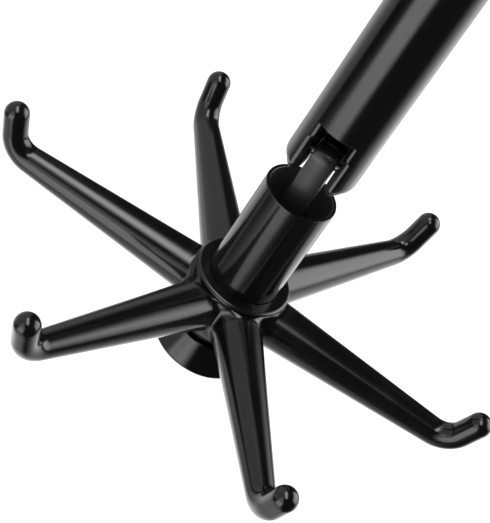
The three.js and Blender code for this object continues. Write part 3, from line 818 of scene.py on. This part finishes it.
def slope_of(field, points, step=0.01 * MM):
    """The field's gradient at each point."""
    parts = []
    for axis in range(3):
        shift = np.zeros(3)
        shift[axis] = step
        ahead = field(*(points + shift).T)
        behind = field(*(points - shift).T)
        parts.append((ahead - behind) / (2 * step))
    return np.stack(parts, 1)


def settle(field, points, rounds=4):
    """Moves points along the gradient until they lie on the surface."""
    for _ in range(rounds):
        slope = slope_of(field, points)
        size = np.maximum((slope ** 2).sum(1), LEAST_SLOPE)
        points = points - slope * (field(*points.T) / size)[:, None]
    return points


def hub_body():
    """The barrel and the six filleted sockets as one smooth moulding, cut square at each socket."""
    reach = SOCKET_END + 2 * MM
    low = (-reach, -reach, heights("hub")[0] - HOOK_Z - 2 * NET_CELL)
    high = (reach, reach, HUB_TOP + 2 * NET_CELL)
    counts = [int((b - a) / NET_CELL) + 1 for a, b in zip(low, high)]
    points, quads = surface_net(rotor_field, low, NET_CELL, counts)
    bm = bmesh.new()
    verts = [bm.verts.new(point) for point in settle(rotor_field, points)]
    for quad in quads.tolist():
        bm.faces.new([verts[i] for i in quad])
    for angle in HOOK_ANGLES:
        out = Vector((math.cos(angle), math.sin(angle), 0))
        everything = [*bm.verts, *bm.edges, *bm.faces]
        socket_end = out * SOCKET_END
        bmesh.ops.bisect_plane(bm, geom=everything, plane_co=socket_end, plane_no=out, clear_outer=True)
    bmesh.ops.holes_fill(bm, edges=[edge for edge in bm.edges if edge.is_boundary])
    bm.verts.ensure_lookup_table()
    normals = slope_of(rotor_field, np.array([vert.co for vert in bm.verts]))
    normals /= np.linalg.norm(normals, axis=1)[:, None]
    lift(bm, HOOK_Z)
    add_piece("hub_barrel", bm, "rotor", "moulding", "hub", normals=normals.tolist())


FLANGE_RADIUS = 16.9 * MM
FLANGE_THICKNESS = 1.2 * MM
FLANGE_EASE = 0.1 * MM  # its lower edge
NECK_RADIUS = 14.9 * MM
NECK_FILLET = 0.4 * MM
BORE_EASE = 0.2 * MM


def hub_flange():
    """The thin disc on top of the hub, its upper edge well rounded, and the bore round the drop tube."""
    top = heights("hub")[1]
    floor = HOOK_Z + BORE_FLOOR
    under = top - FLANGE_THICKNESS
    round_radius = FLANGE_THICKNESS - FLANGE_EASE
    rim = arc(FLANGE_RADIUS - round_radius, under + FLANGE_EASE, round_radius, 0, TAU / 4)
    outline = [
        (BORE_RADIUS, floor), (NECK_RADIUS, floor), (NECK_RADIUS, under, NECK_FILLET),
        (FLANGE_RADIUS - FLANGE_EASE, under), *rim, (BORE_RADIUS, top, BORE_EASE),
    ]
    add_turned("hub_flange", eased(outline, True), "rotor", "disc", "hub", True)


ARM_RINGS = 14
BEND_RINGS = 18
TIP_RINGS = 4
ROUND_END_RINGS = 14
SOCKET_GAP = 0.05 * MM


def arm_profile():
    """(radius, distance from the hub's axis) along the arm while it is still straight."""
    bend_end = BEND_START + BEND_RADIUS * BEND_ANGLE
    tip = bend_end + TIP_LENGTH
    root = SOCKET_END + SOCKET_GAP
    rings = [(0, root)]
    for k in range(ARM_RINGS + 1):
        along = root + (BEND_START - root) * k / ARM_RINGS
        rings.append((arm_radius(along), along))
    for k in range(1, BEND_RINGS + 1):
        share = k / BEND_RINGS
        radius = BEND_START_RADIUS + (TIP_RADIUS - BEND_START_RADIUS) * share
        rings.append((radius, BEND_START + (bend_end - BEND_START) * share))
    rings += [(TIP_RADIUS, bend_end + TIP_LENGTH * k / TIP_RINGS) for k in range(1, TIP_RINGS + 1)]
    rings += arc(0, tip, TIP_RADIUS, 0, TAU / 4, ROUND_END_RINGS)[1:-1]
    return [*rings, (0, tip + TIP_RADIUS)]


def hook_arm(i):
    """A turned taper with a round end, bent up near its tip."""
    bm = turned(arm_profile(), segments=72)
    for vert in bm.verts:
        vert.co = bent(vert.co)
    bmesh.ops.recalc_face_normals(bm, faces=bm.faces)
    turn_and_lift(bm, HOOK_ANGLES[i], "Z", HOOK_Z)
    add_piece(f"hook_{i + 1}", bm, "rotor", "moulding", f"hook_arm_{i + 1}")


def bent(place):
    """Takes a point of the straight arm, whose length is along Z, to the bent arm along X."""
    along = place.z - BEND_START
    angle = min(max(along / BEND_RADIUS, 0), BEND_ANGLE)
    straight = along - BEND_RADIUS * angle
    across = BEND_RADIUS - place.x
    x = BEND_START + across * math.sin(angle) + straight * math.cos(angle)
    z = BEND_RADIUS - across * math.cos(angle) + straight * math.sin(angle)
    return Vector((x, place.y, z))


CAP_NECK_RADIUS = 13.7 * MM
CAP_LIP = 0.8 * MM
CAP_RECESS_RADIUS = 14.5 * MM
CAP_ROOF = 1.5 * MM
CAP_SEAT = 17.4 * MM  # the bolt head's seat, below the plane of the arms
CAP_HEAD_ROOM = 7.2 * MM
CAP_HOLE = 4.2 * MM


def bottom_cap():
    """The flared foot, with a lip at its edge, hollowed below round the bolt's head."""
    bottom, top = heights("bottom_cap")
    radius = widest("bottom_cap")
    seat = HOOK_Z - CAP_SEAT
    roof = bottom + CAP_ROOF
    inside = [
        (CAP_HOLE, seat), (CAP_HEAD_ROOM, seat), (CAP_HEAD_ROOM, roof, 0.3 * MM),
        (CAP_RECESS_RADIUS, roof), (CAP_RECESS_RADIUS, bottom, 0.3 * MM),
    ]
    outside = [
        (radius, bottom, 0.25 * MM), (radius, bottom + CAP_LIP, 0.3 * MM),
        (CAP_NECK_RADIUS, top, 0.5 * MM), (CAP_HOLE, top),
    ]
    outline = eased(inside + outside, True)
    add_turned("bottom_cap_flare", outline, "drop", "moulding", "bottom_cap", True)


# ---------- Base and shoulder ----------

SCREW_CIRCLE = 26 * MM
SCREW_HOLE = 2.25 * MM
SCREW_HEAD = 4.6 * MM
SCREW_COUNT = 3
PAD_HOLE = 3.6 * MM
PAD_EASE = 0.2 * MM
PLATE_THICKNESS = 7 * MM
PLATE_ROUND = 3 * MM
PLATE_EASE = 0.4 * MM
EAR_RADIUS = 9 * MM
EAR_THICKNESS = 4.5 * MM
EAR_FILLET = (4 * MM, 6 * MM)  # width and height where an ear meets the plate
EAR_CORNER = 3 * MM
EAR_EASE = 0.6 * MM
EAR_GAP = 0.3 * MM  # from a friction washer to its ear
BOLT_RADIUS = 3 * MM
BOLT_FIT = 0.1 * MM
KNUCKLE_RADIUS = 8 * MM
KNUCKLE_EASE = 0.6 * MM
KNUCKLE_FLANGE_TOP = 14 * MM  # below the hinge
KNUCKLE_FLANGE = 2 * MM
STOP_THICKNESS = 3.5 * MM
STOP_GAP = 0.3 * MM  # from the knuckle to the stop
STOP_SETBACK = 0.8 * MM  # from the ears' front
STOP_EASE = 0.8 * MM
STOP_BACK = -KNUCKLE_RADIUS - STOP_GAP
STOP_FRONT = STOP_BACK - STOP_THICKNESS


def screw_cutters(radius, bottom, top):
    """Round cutters at the places of the screws."""
    cutters = []
    for x, y in arc(0, 0, SCREW_CIRCLE, TAU / 4, TAU / 4 + TAU, SCREW_COUNT)[:-1]:
        cutter = turned(rod(radius, bottom, top), segments=48)
        bmesh.ops.translate(cutter, verts=cutter.verts, vec=(x, y, 0))
        cutters.append(cutter)
    return cutters


def shoulder_bore():
    """A round cutter along the shoulder's hinge, for the bolt."""
    reach = widest("base_plate")
    return across_hinge(rod(BOLT_RADIUS + BOLT_FIT, -reach, reach), SHOULDER_Z, segments=64)


def adhesive_pad():
    """The foam disc, with room for the screws."""
    bottom, top = heights("adhesive_pad")
    disc = turned(rod(widest("adhesive_pad"), bottom, top, PAD_EASE))
    holes = screw_cutters(PAD_HOLE, bottom - OVERLAP, top + OVERLAP)
    add_piece("adhesive_pad_foam", cut(disc, holes), "base", "foam", "adhesive_pad")


def ear_outline(plate_bottom, root_top):
    """One ear in (y, z): round about the hinge behind, squared to the stop in front."""
    bottom = SHOULDER_Z - EAR_RADIUS
    width, height = EAR_FILLET
    front = STOP_FRONT - width
    back = EAR_RADIUS + width
    front_fillet = eased([
        (front, plate_bottom), (STOP_FRONT, plate_bottom, height), (STOP_FRONT, bottom + 2 * EAR_CORNER),
    ], steps=8)
    corner = eased([front_fillet[-1], (STOP_FRONT, bottom, EAR_CORNER), (0, bottom)], steps=6)[1:-1]
    knuckle = arc(0, SHOULDER_Z, EAR_RADIUS, -TAU / 4, 0, 20)
    back_fillet = eased([
        (EAR_RADIUS, plate_bottom - 2 * height), (EAR_RADIUS, plate_bottom, height), (back, plate_bottom),
    ], steps=8)[1:]
    return [(front, root_top), *front_fillet, *corner, *knuckle, *back_fillet, (back, root_top)]


def base_disc(plate_bottom, top):
    """The round plate, with a hole and a sunk seat for each screw."""
    radius = widest("base_plate")
    profile = [
        (0, plate_bottom), (radius, plate_bottom, PLATE_ROUND), (radius, top, PLATE_EASE), (0, top),
    ]
    seat = plate_bottom + SCREW_HEAD - SCREW_HOLE
    holes = screw_cutters(SCREW_HOLE, plate_bottom - OVERLAP, top + OVERLAP)
    seats = screw_cutters(SCREW_HEAD, plate_bottom - OVERLAP, seat)
    return cut(turned(eased(profile)), holes + seats)


def base_plate():
    """A round plate with two ears for the hinge and a wall between them that stops the arm."""
    bottom_of_ears, top = heights("base_plate")
    plate_bottom = top - PLATE_THICKNESS
    root_top = (plate_bottom + top) / 2
    outline = ear_outline(plate_bottom, root_top)
    ear_inside = spans_x("friction_washer_right")[1] + EAR_GAP
    ears = []
    for side in (-1, 1):
        near, far = sorted((side * ear_inside, side * (ear_inside + EAR_THICKNESS)))
        ears.append(cut(slab(outline, near, far, EAR_EASE), [shoulder_bore()]))
    front = STOP_FRONT + STOP_SETBACK
    bottom = bottom_of_ears + EAR_CORNER
    wall = eased([
        (front, root_top), (front, bottom, STOP_EASE),
        (STOP_BACK, bottom, STOP_EASE), (STOP_BACK, root_top),
    ])
    stop = slab(wall, -ear_inside - OVERLAP, ear_inside + OVERLAP, 0.05 * MM)
    whole = joined(base_disc(plate_bottom, top), *ears, stop)
    add_piece("base_plate_moulding", whole, "base", "moulding", "base_plate")


BOLT_HEAD_RADIUS = 6 * MM
BOLT_HEAD_HEIGHT = 3 * MM
BOLT_HEAD_RIM = 0.4 * MM  # height of the head's straight side
BOLT_HEAD_STEPS = 14


def shoulder_bolt():
    """A low domed head on the left, and a plain shank through both ears."""
    left, right = spans_x("shoulder_bolt")
    under = left + BOLT_HEAD_HEIGHT
    crown = BOLT_HEAD_HEIGHT - BOLT_HEAD_RIM
    turns = [TAU / 4 * i / BOLT_HEAD_STEPS for i in range(BOLT_HEAD_STEPS + 1)]
    dome = [(BOLT_HEAD_RADIUS * math.sin(t), left + crown * (1 - math.cos(t))) for t in turns]
    shank = [
        (BOLT_HEAD_RADIUS, under, 0.1 * MM), (BOLT_RADIUS, under),
        (BOLT_RADIUS, right, 0.4 * MM), (0, right),
    ]
    bolt = across_hinge(eased(dome + shank), SHOULDER_Z)
    add_piece("shoulder_bolt_body", bolt, "base", "steel", "shoulder_bolt")


SPRING_HOLE = 3.3 * MM
SPRING_RADIUS = 6 * MM
SPRING_WIRE = 0.75  # of the washer's width, the rest is its climb
SPRING_EASE = 0.2 * MM
SPRING_GAP = math.radians(7)  # half the gap between its ends
SPRING_STEPS = 96


def spring_washer():
    """A split ring, one coil of square wire whose ends stand a little apart."""
    left, right = spans_x("spring_washer")
    wire = SPRING_WIRE * (right - left)
    climb = right - left - wire
    outlines = []
    for i in range(SPRING_STEPS + 1):
        share = i / SPRING_STEPS
        angle = SPRING_GAP + (TAU - 2 * SPRING_GAP) * share
        x = left + climb * share
        section = ring(SPRING_HOLE, SPRING_RADIUS, x, x + wire, SPRING_EASE, steps=3)
        outlines.append([(b, a * math.cos(angle), a * math.sin(angle) + SHOULDER_Z) for a, b in section])
    add_piece("spring_washer_coil", lofted(outlines), "base", "steel", "spring_washer")


NUT_RADIUS = 5.9 * MM  # over its corners
NUT_DOME_RADIUS = 4.8 * MM
NUT_EASE = 0.35 * MM
NUT_EDGE_ANGLE = 0.5  # radians, less than any edge of the hexagon


def shoulder_nut():
    """A dome nut: a hexagon with turned-off corners, closed by a dome."""
    left, right = spans_x("shoulder_nut")
    face = right - NUT_DOME_RADIUS
    hexagon = across_hinge(rod(NUT_RADIUS, left, face), SHOULDER_Z, segments=6)
    joins = [edge for edge in hexagon.edges if len(edge.link_faces) == 2]
    rims = [edge for edge in joins if edge.calc_face_angle() > NUT_EDGE_ANGLE]
    bmesh.ops.bevel(hexagon, geom=rims, offset=NUT_EASE, segments=4, profile=0.5, affect="EDGES")
    inside = face - OVERLAP
    cap = arc(0, face, NUT_DOME_RADIUS, 0, TAU / 4, 18)[:-1]
    dome = across_hinge([(0, inside), (NUT_DOME_RADIUS, inside), *cap, (0, right)], SHOULDER_Z)
    add_piece("shoulder_nut_body", joined(hexagon, dome), "base", "steel", "shoulder_nut")


WASHER_HOLE = 3.3 * MM
WASHER_RADIUS = 7.5 * MM
WASHER_EASE = 0.2 * MM


def friction_washer(side):
    """The nylon washer on one side of the knuckle."""
    node = f"friction_washer_{side}"
    outline = ring(WASHER_HOLE, WASHER_RADIUS, *spans_x(node), WASHER_EASE)
    washer = across_hinge(outline, SHOULDER_Z, closed=True)
    add_piece(f"{node}_ring", washer, "base", "nylon", node)


def shoulder_knuckle():
    """The plug in the top of the arm tube, its flange, and the tongue that swings between the ears."""
    bottom, _ = heights("shoulder_knuckle")
    flange_top = SHOULDER_Z - KNUCKLE_FLANGE_TOP
    flange_bottom = flange_top - KNUCKLE_FLANGE
    plug = turned(eased([
        (0, bottom), (PLUG_RADIUS, bottom, PLUG_EASE), (PLUG_RADIUS, flange_bottom),
        (TUBE_RADIUS, flange_bottom, 0.2 * MM), (TUBE_RADIUS, flange_top, 0.7 * MM), (0, flange_top),
    ]))
    foot = flange_top - OVERLAP
    knuckle = arc(0, SHOULDER_Z, KNUCKLE_RADIUS, 0, TAU / 2, 40)
    outline = [(-KNUCKLE_RADIUS, foot), (KNUCKLE_RADIUS, foot), *knuckle]
    tongue = slab(outline, -TONGUE_HALF_WIDTH, TONGUE_HALF_WIDTH, KNUCKLE_EASE)
    whole = joined(plug, cut(tongue, [shoulder_bore()]))
    add_piece("shoulder_knuckle_tongue", whole, "arm", "satin", "shoulder_knuckle")


# ---------- Spindle ----------

SLEEVE_HOLE = 4.2 * MM
THRUST_HOLE = 6.3 * MM
LINER_HOLE = 6.1 * MM
LINER_RADIUS = 7.36 * MM
FINE_EASE = 0.12 * MM
SPINDLE_RADIUS = 3.9 * MM
SPINDLE_HEAD_RADIUS = 6.5 * MM
SPINDLE_HEAD_HEIGHT = 4.7 * MM
KEY_RADIUS = 3.5 * MM  # the head's hexagon socket, over its corners
KEY_DEPTH = 2.6 * MM


def spindle_rings():
    """What turns and slides on the bolt: sleeve, thrust washer and the hub's liner."""
    sleeve = ring(SLEEVE_HOLE, widest("spindle_sleeve"), *heights("spindle_sleeve"), FINE_EASE)
    add_turned("spindle_sleeve_tube", sleeve, "drop", "steel", "spindle_sleeve", True)
    washer = ring(THRUST_HOLE, widest("thrust_washer"), *heights("thrust_washer"), FINE_EASE)
    add_turned("thrust_washer_ring", washer, "drop", "satin", "thrust_washer", True)
    liner = ring(LINER_HOLE, LINER_RADIUS, *heights("hub_bushing"), FINE_EASE)
    add_turned("hub_bushing_liner", liner, "rotor", "nylon", "hub_bushing", True)


def spindle_bolt():
    """The bolt that carries the rotor, its head below with a hexagon socket."""
    bottom, top = heights("spindle_bolt")
    head_top = bottom + SPINDLE_HEAD_HEIGHT
    bolt = turned(eased([
        (0, bottom), (SPINDLE_HEAD_RADIUS, bottom, 0.6 * MM), (SPINDLE_HEAD_RADIUS, head_top, 0.2 * MM),
        (SPINDLE_RADIUS, head_top), (SPINDLE_RADIUS, top, 0.4 * MM), (0, top),
    ]))
    key = turned(rod(KEY_RADIUS, bottom - OVERLAP, bottom + KEY_DEPTH), segments=6)
    add_piece("spindle_bolt_body", cut(bolt, [key]), "drop", "steel", "spindle_bolt")


# ---------- The pieces ----------

arm_tube()
drop_tube()
elbow_tongue()
elbow_fork()
hub_body()
hub_flange()
for hook in range(HOOK_COUNT):
    hook_arm(hook)
bottom_cap()
elbow_pin()
adhesive_pad()
base_plate()
shoulder_bolt()
spring_washer()
shoulder_nut()
friction_washer("left")
friction_washer("right")
shoulder_knuckle()
spindle_rings()
spindle_bolt()


# ---------- Camera ----------

TARGET = Vector((-2.49 * MM, -0.17 * MM, HOOK_Z + 15.2 * MM))
DISTANCE = 600 * MM
ELEVATION = math.radians(38.98)
AZIMUTH = math.radians(3.86)
ROLL = math.radians(34.47)
LENS = 125.86  # in millimetres, as the sensor
SENSOR_WIDTH = 36


def camera_turn():
    """Rotation of the camera, which looks down at the hooks and leans to its right."""
    back = Vector((
        math.sin(AZIMUTH) * math.cos(ELEVATION),
        -math.cos(AZIMUTH) * math.cos(ELEVATION),
        math.sin(ELEVATION),
    ))
    level = (-back).to_track_quat("-Z", "Y")
    return level.to_matrix() @ Matrix.Rotation(ROLL, 3, "Z")


def add_camera():
    """The camera, aimed at a point between the hooks and the elbow."""
    data = bpy.data.cameras.new("camera")
    data.lens = LENS
    data.sensor_width = SENSOR_WIDTH
    camera = add_object("camera", data)
    turn = camera_turn()
    camera.location = TARGET + turn @ Vector((0, 0, DISTANCE))
    camera.rotation_mode = "QUATERNION"
    camera.rotation_quaternion = turn.to_quaternion()
    bpy.context.scene.camera = camera


# ---------- Light and floor ----------

# Soft panels round the object, as its gloss mirrors them. Each has the azimuth and elevation of its
# middle and its roll, in degrees, as the photographer sees the studio: azimuth 0 is behind the camera
# and 90 to its right. Then its half width, half height and soft edge at one metre, and its brightness.
PANELS = {
    "left_box": (-53, -28, 31, 0.38, 0.39, 0.21, 3.1),
    "left_strip": (-26, -8, 3, 0.2, 0.36, 0.2, 1.6),
    "key_strip": (14, 36, -7, 0.13, 0.52, 0.18, 6.8),
    "right_box": (97, 4, -36, 0.4, 0.53, 0.3, 4.0),
    "backdrop": (177, -17, 15, 1.65, 0.36, 1.15, 2.25),
    "ceiling_sheet": (-63, 55, -38, 1.85, 1.25, 0.5, 0.66),
    "left_reflector": (-143, 26, -22, 0.9, 0.23, 0.16, 0.53),
    "low_sheet": (-119, -37, -22, 0.67, 0.55, 0.43, 1.0),
}
ROOM = 0.04  # brightness of the dark room between the panels
SOFT_REACH = 0.7  # of its soft edge, how far a panel fades to each side of its outline
LEAST_AHEAD = 0.001  # keeps directions beside a panel from a division by zero


def panel_axes(azimuth, elevation, roll):
    """A panel's direction from the object, and its own right and up."""
    turn = (
        Matrix.Rotation(math.radians(azimuth), 3, "Y")
        @ Matrix.Rotation(-math.radians(elevation), 3, "X")
        @ Matrix.Rotation(math.radians(roll), 3, "Z")
    )
    studio = camera_turn() @ turn
    return studio.col[2], studio.col[0], studio.col[1]


class World:
    """The studio's light, as a world: white to the camera and to matt surfaces, panels to gloss."""

    def __init__(self):
        world = bpy.data.worlds.new("studio")
        world.use_nodes = True
        world.cycles.sampling_method = "NONE"
        bpy.context.scene.world = world
        self.tree = world.node_tree
        self.direction = self.tree.nodes.new("ShaderNodeTexCoord").outputs["Generated"]
        self.background = self.tree.nodes["Background"]

    def maths(self, operation, a, b):
        """The result of a maths node. Each of a and b is a number or another node's output."""
        node = self.tree.nodes.new("ShaderNodeMath")
        node.operation = operation
        for socket, value in zip(node.inputs, (a, b)):
            if isinstance(value, (int, float)):
                socket.default_value = value
            else:
                self.tree.links.new(value, socket)
        return node.outputs[0]

    def along(self, axis):
        """How far a ray's direction goes along an axis."""
        node = self.tree.nodes.new("ShaderNodeVectorMath")
        node.operation = "DOT_PRODUCT"
        self.tree.links.new(self.direction, node.inputs[0])
        node.inputs[1].default_value = axis
        return node.outputs["Value"]

    def inside(self, offset, ahead, half, soft):
        """1 within half a panel's size of its middle, easing to 0 over its soft edge."""
        ratio = self.maths("DIVIDE", self.maths("ABSOLUTE", offset, 0), ahead)
        fade = soft * SOFT_REACH
        return map_range(self.tree, ratio, half - fade, half + fade, 1, 0)

    def panel(self, azimuth, elevation, roll, half_width, half_height, soft, brightness):
        """The light of one panel, by a ray's direction."""
        middle, right, up = panel_axes(azimuth, elevation, roll)
        ahead = self.maths("MAXIMUM", self.along(middle), LEAST_AHEAD)
        across = self.inside(self.along(right), ahead, half_width, soft)
        upright = self.inside(self.along(up), ahead, half_height, soft)
        return self.maths("MULTIPLY", self.maths("MULTIPLY", across, upright), brightness)

    def light(self, gloss_sees, rest_sees):
        """Sets what glossy rays see and what all the others see."""
        rays = self.tree.nodes.new("ShaderNodeLightPath")
        mirrored = self.maths("MULTIPLY", gloss_sees, rays.outputs["Is Glossy Ray"])
        direct = self.maths("SUBTRACT", 1, rays.outputs["Is Glossy Ray"])
        total = self.maths("ADD", mirrored, self.maths("MULTIPLY", direct, rest_sees))
        self.tree.links.new(total, self.background.inputs["Strength"])
        self.background.inputs["Color"].default_value = (1, 1, 1, 1)


def add_world():
    """The panels and the dark room between them."""
    world = World()
    total = ROOM
    for panel in PANELS.values():
        total = world.maths("ADD", world.panel(*panel), total)
    world.light(total, 1.0)


FLOOR_Z = -0.5
FLOOR_HALF = 3.0
OVERHEAD_SIZE = (2.0, 1.6)
OVERHEAD_WATTS = 25
OVERHEAD_PLACE = (0.3, -0.6, 1.6)
OVERHEAD_TURN = (math.radians(20), 0, math.radians(26))


def add_floor():
    """Plain pale paper under and behind the object. The black gloss mirrors only the panels."""
    bm = bmesh.new()
    bmesh.ops.create_grid(bm, x_segments=24, y_segments=24, size=FLOOR_HALF)
    mesh = mesh_from("floor", bm)
    mesh.materials.append(background_paper())
    floor = add_object("floor", mesh)
    floor.location.z = FLOOR_Z
    floor.visible_glossy = False


def add_overhead_light():
    """One large soft light over the object, for its matt surfaces and the paper."""
    data = bpy.data.lights.new("overhead", "AREA")
    data.shape = "RECTANGLE"
    data.size, data.size_y = OVERHEAD_SIZE
    data.energy = OVERHEAD_WATTS
    light = add_object("overhead", data)
    light.location = OVERHEAD_PLACE
    light.rotation_euler = OVERHEAD_TURN
    light.visible_glossy = False


add_camera()
add_world()
add_floor()
add_overhead_light()
bpy.context.scene.view_settings.view_transform = "Standard"
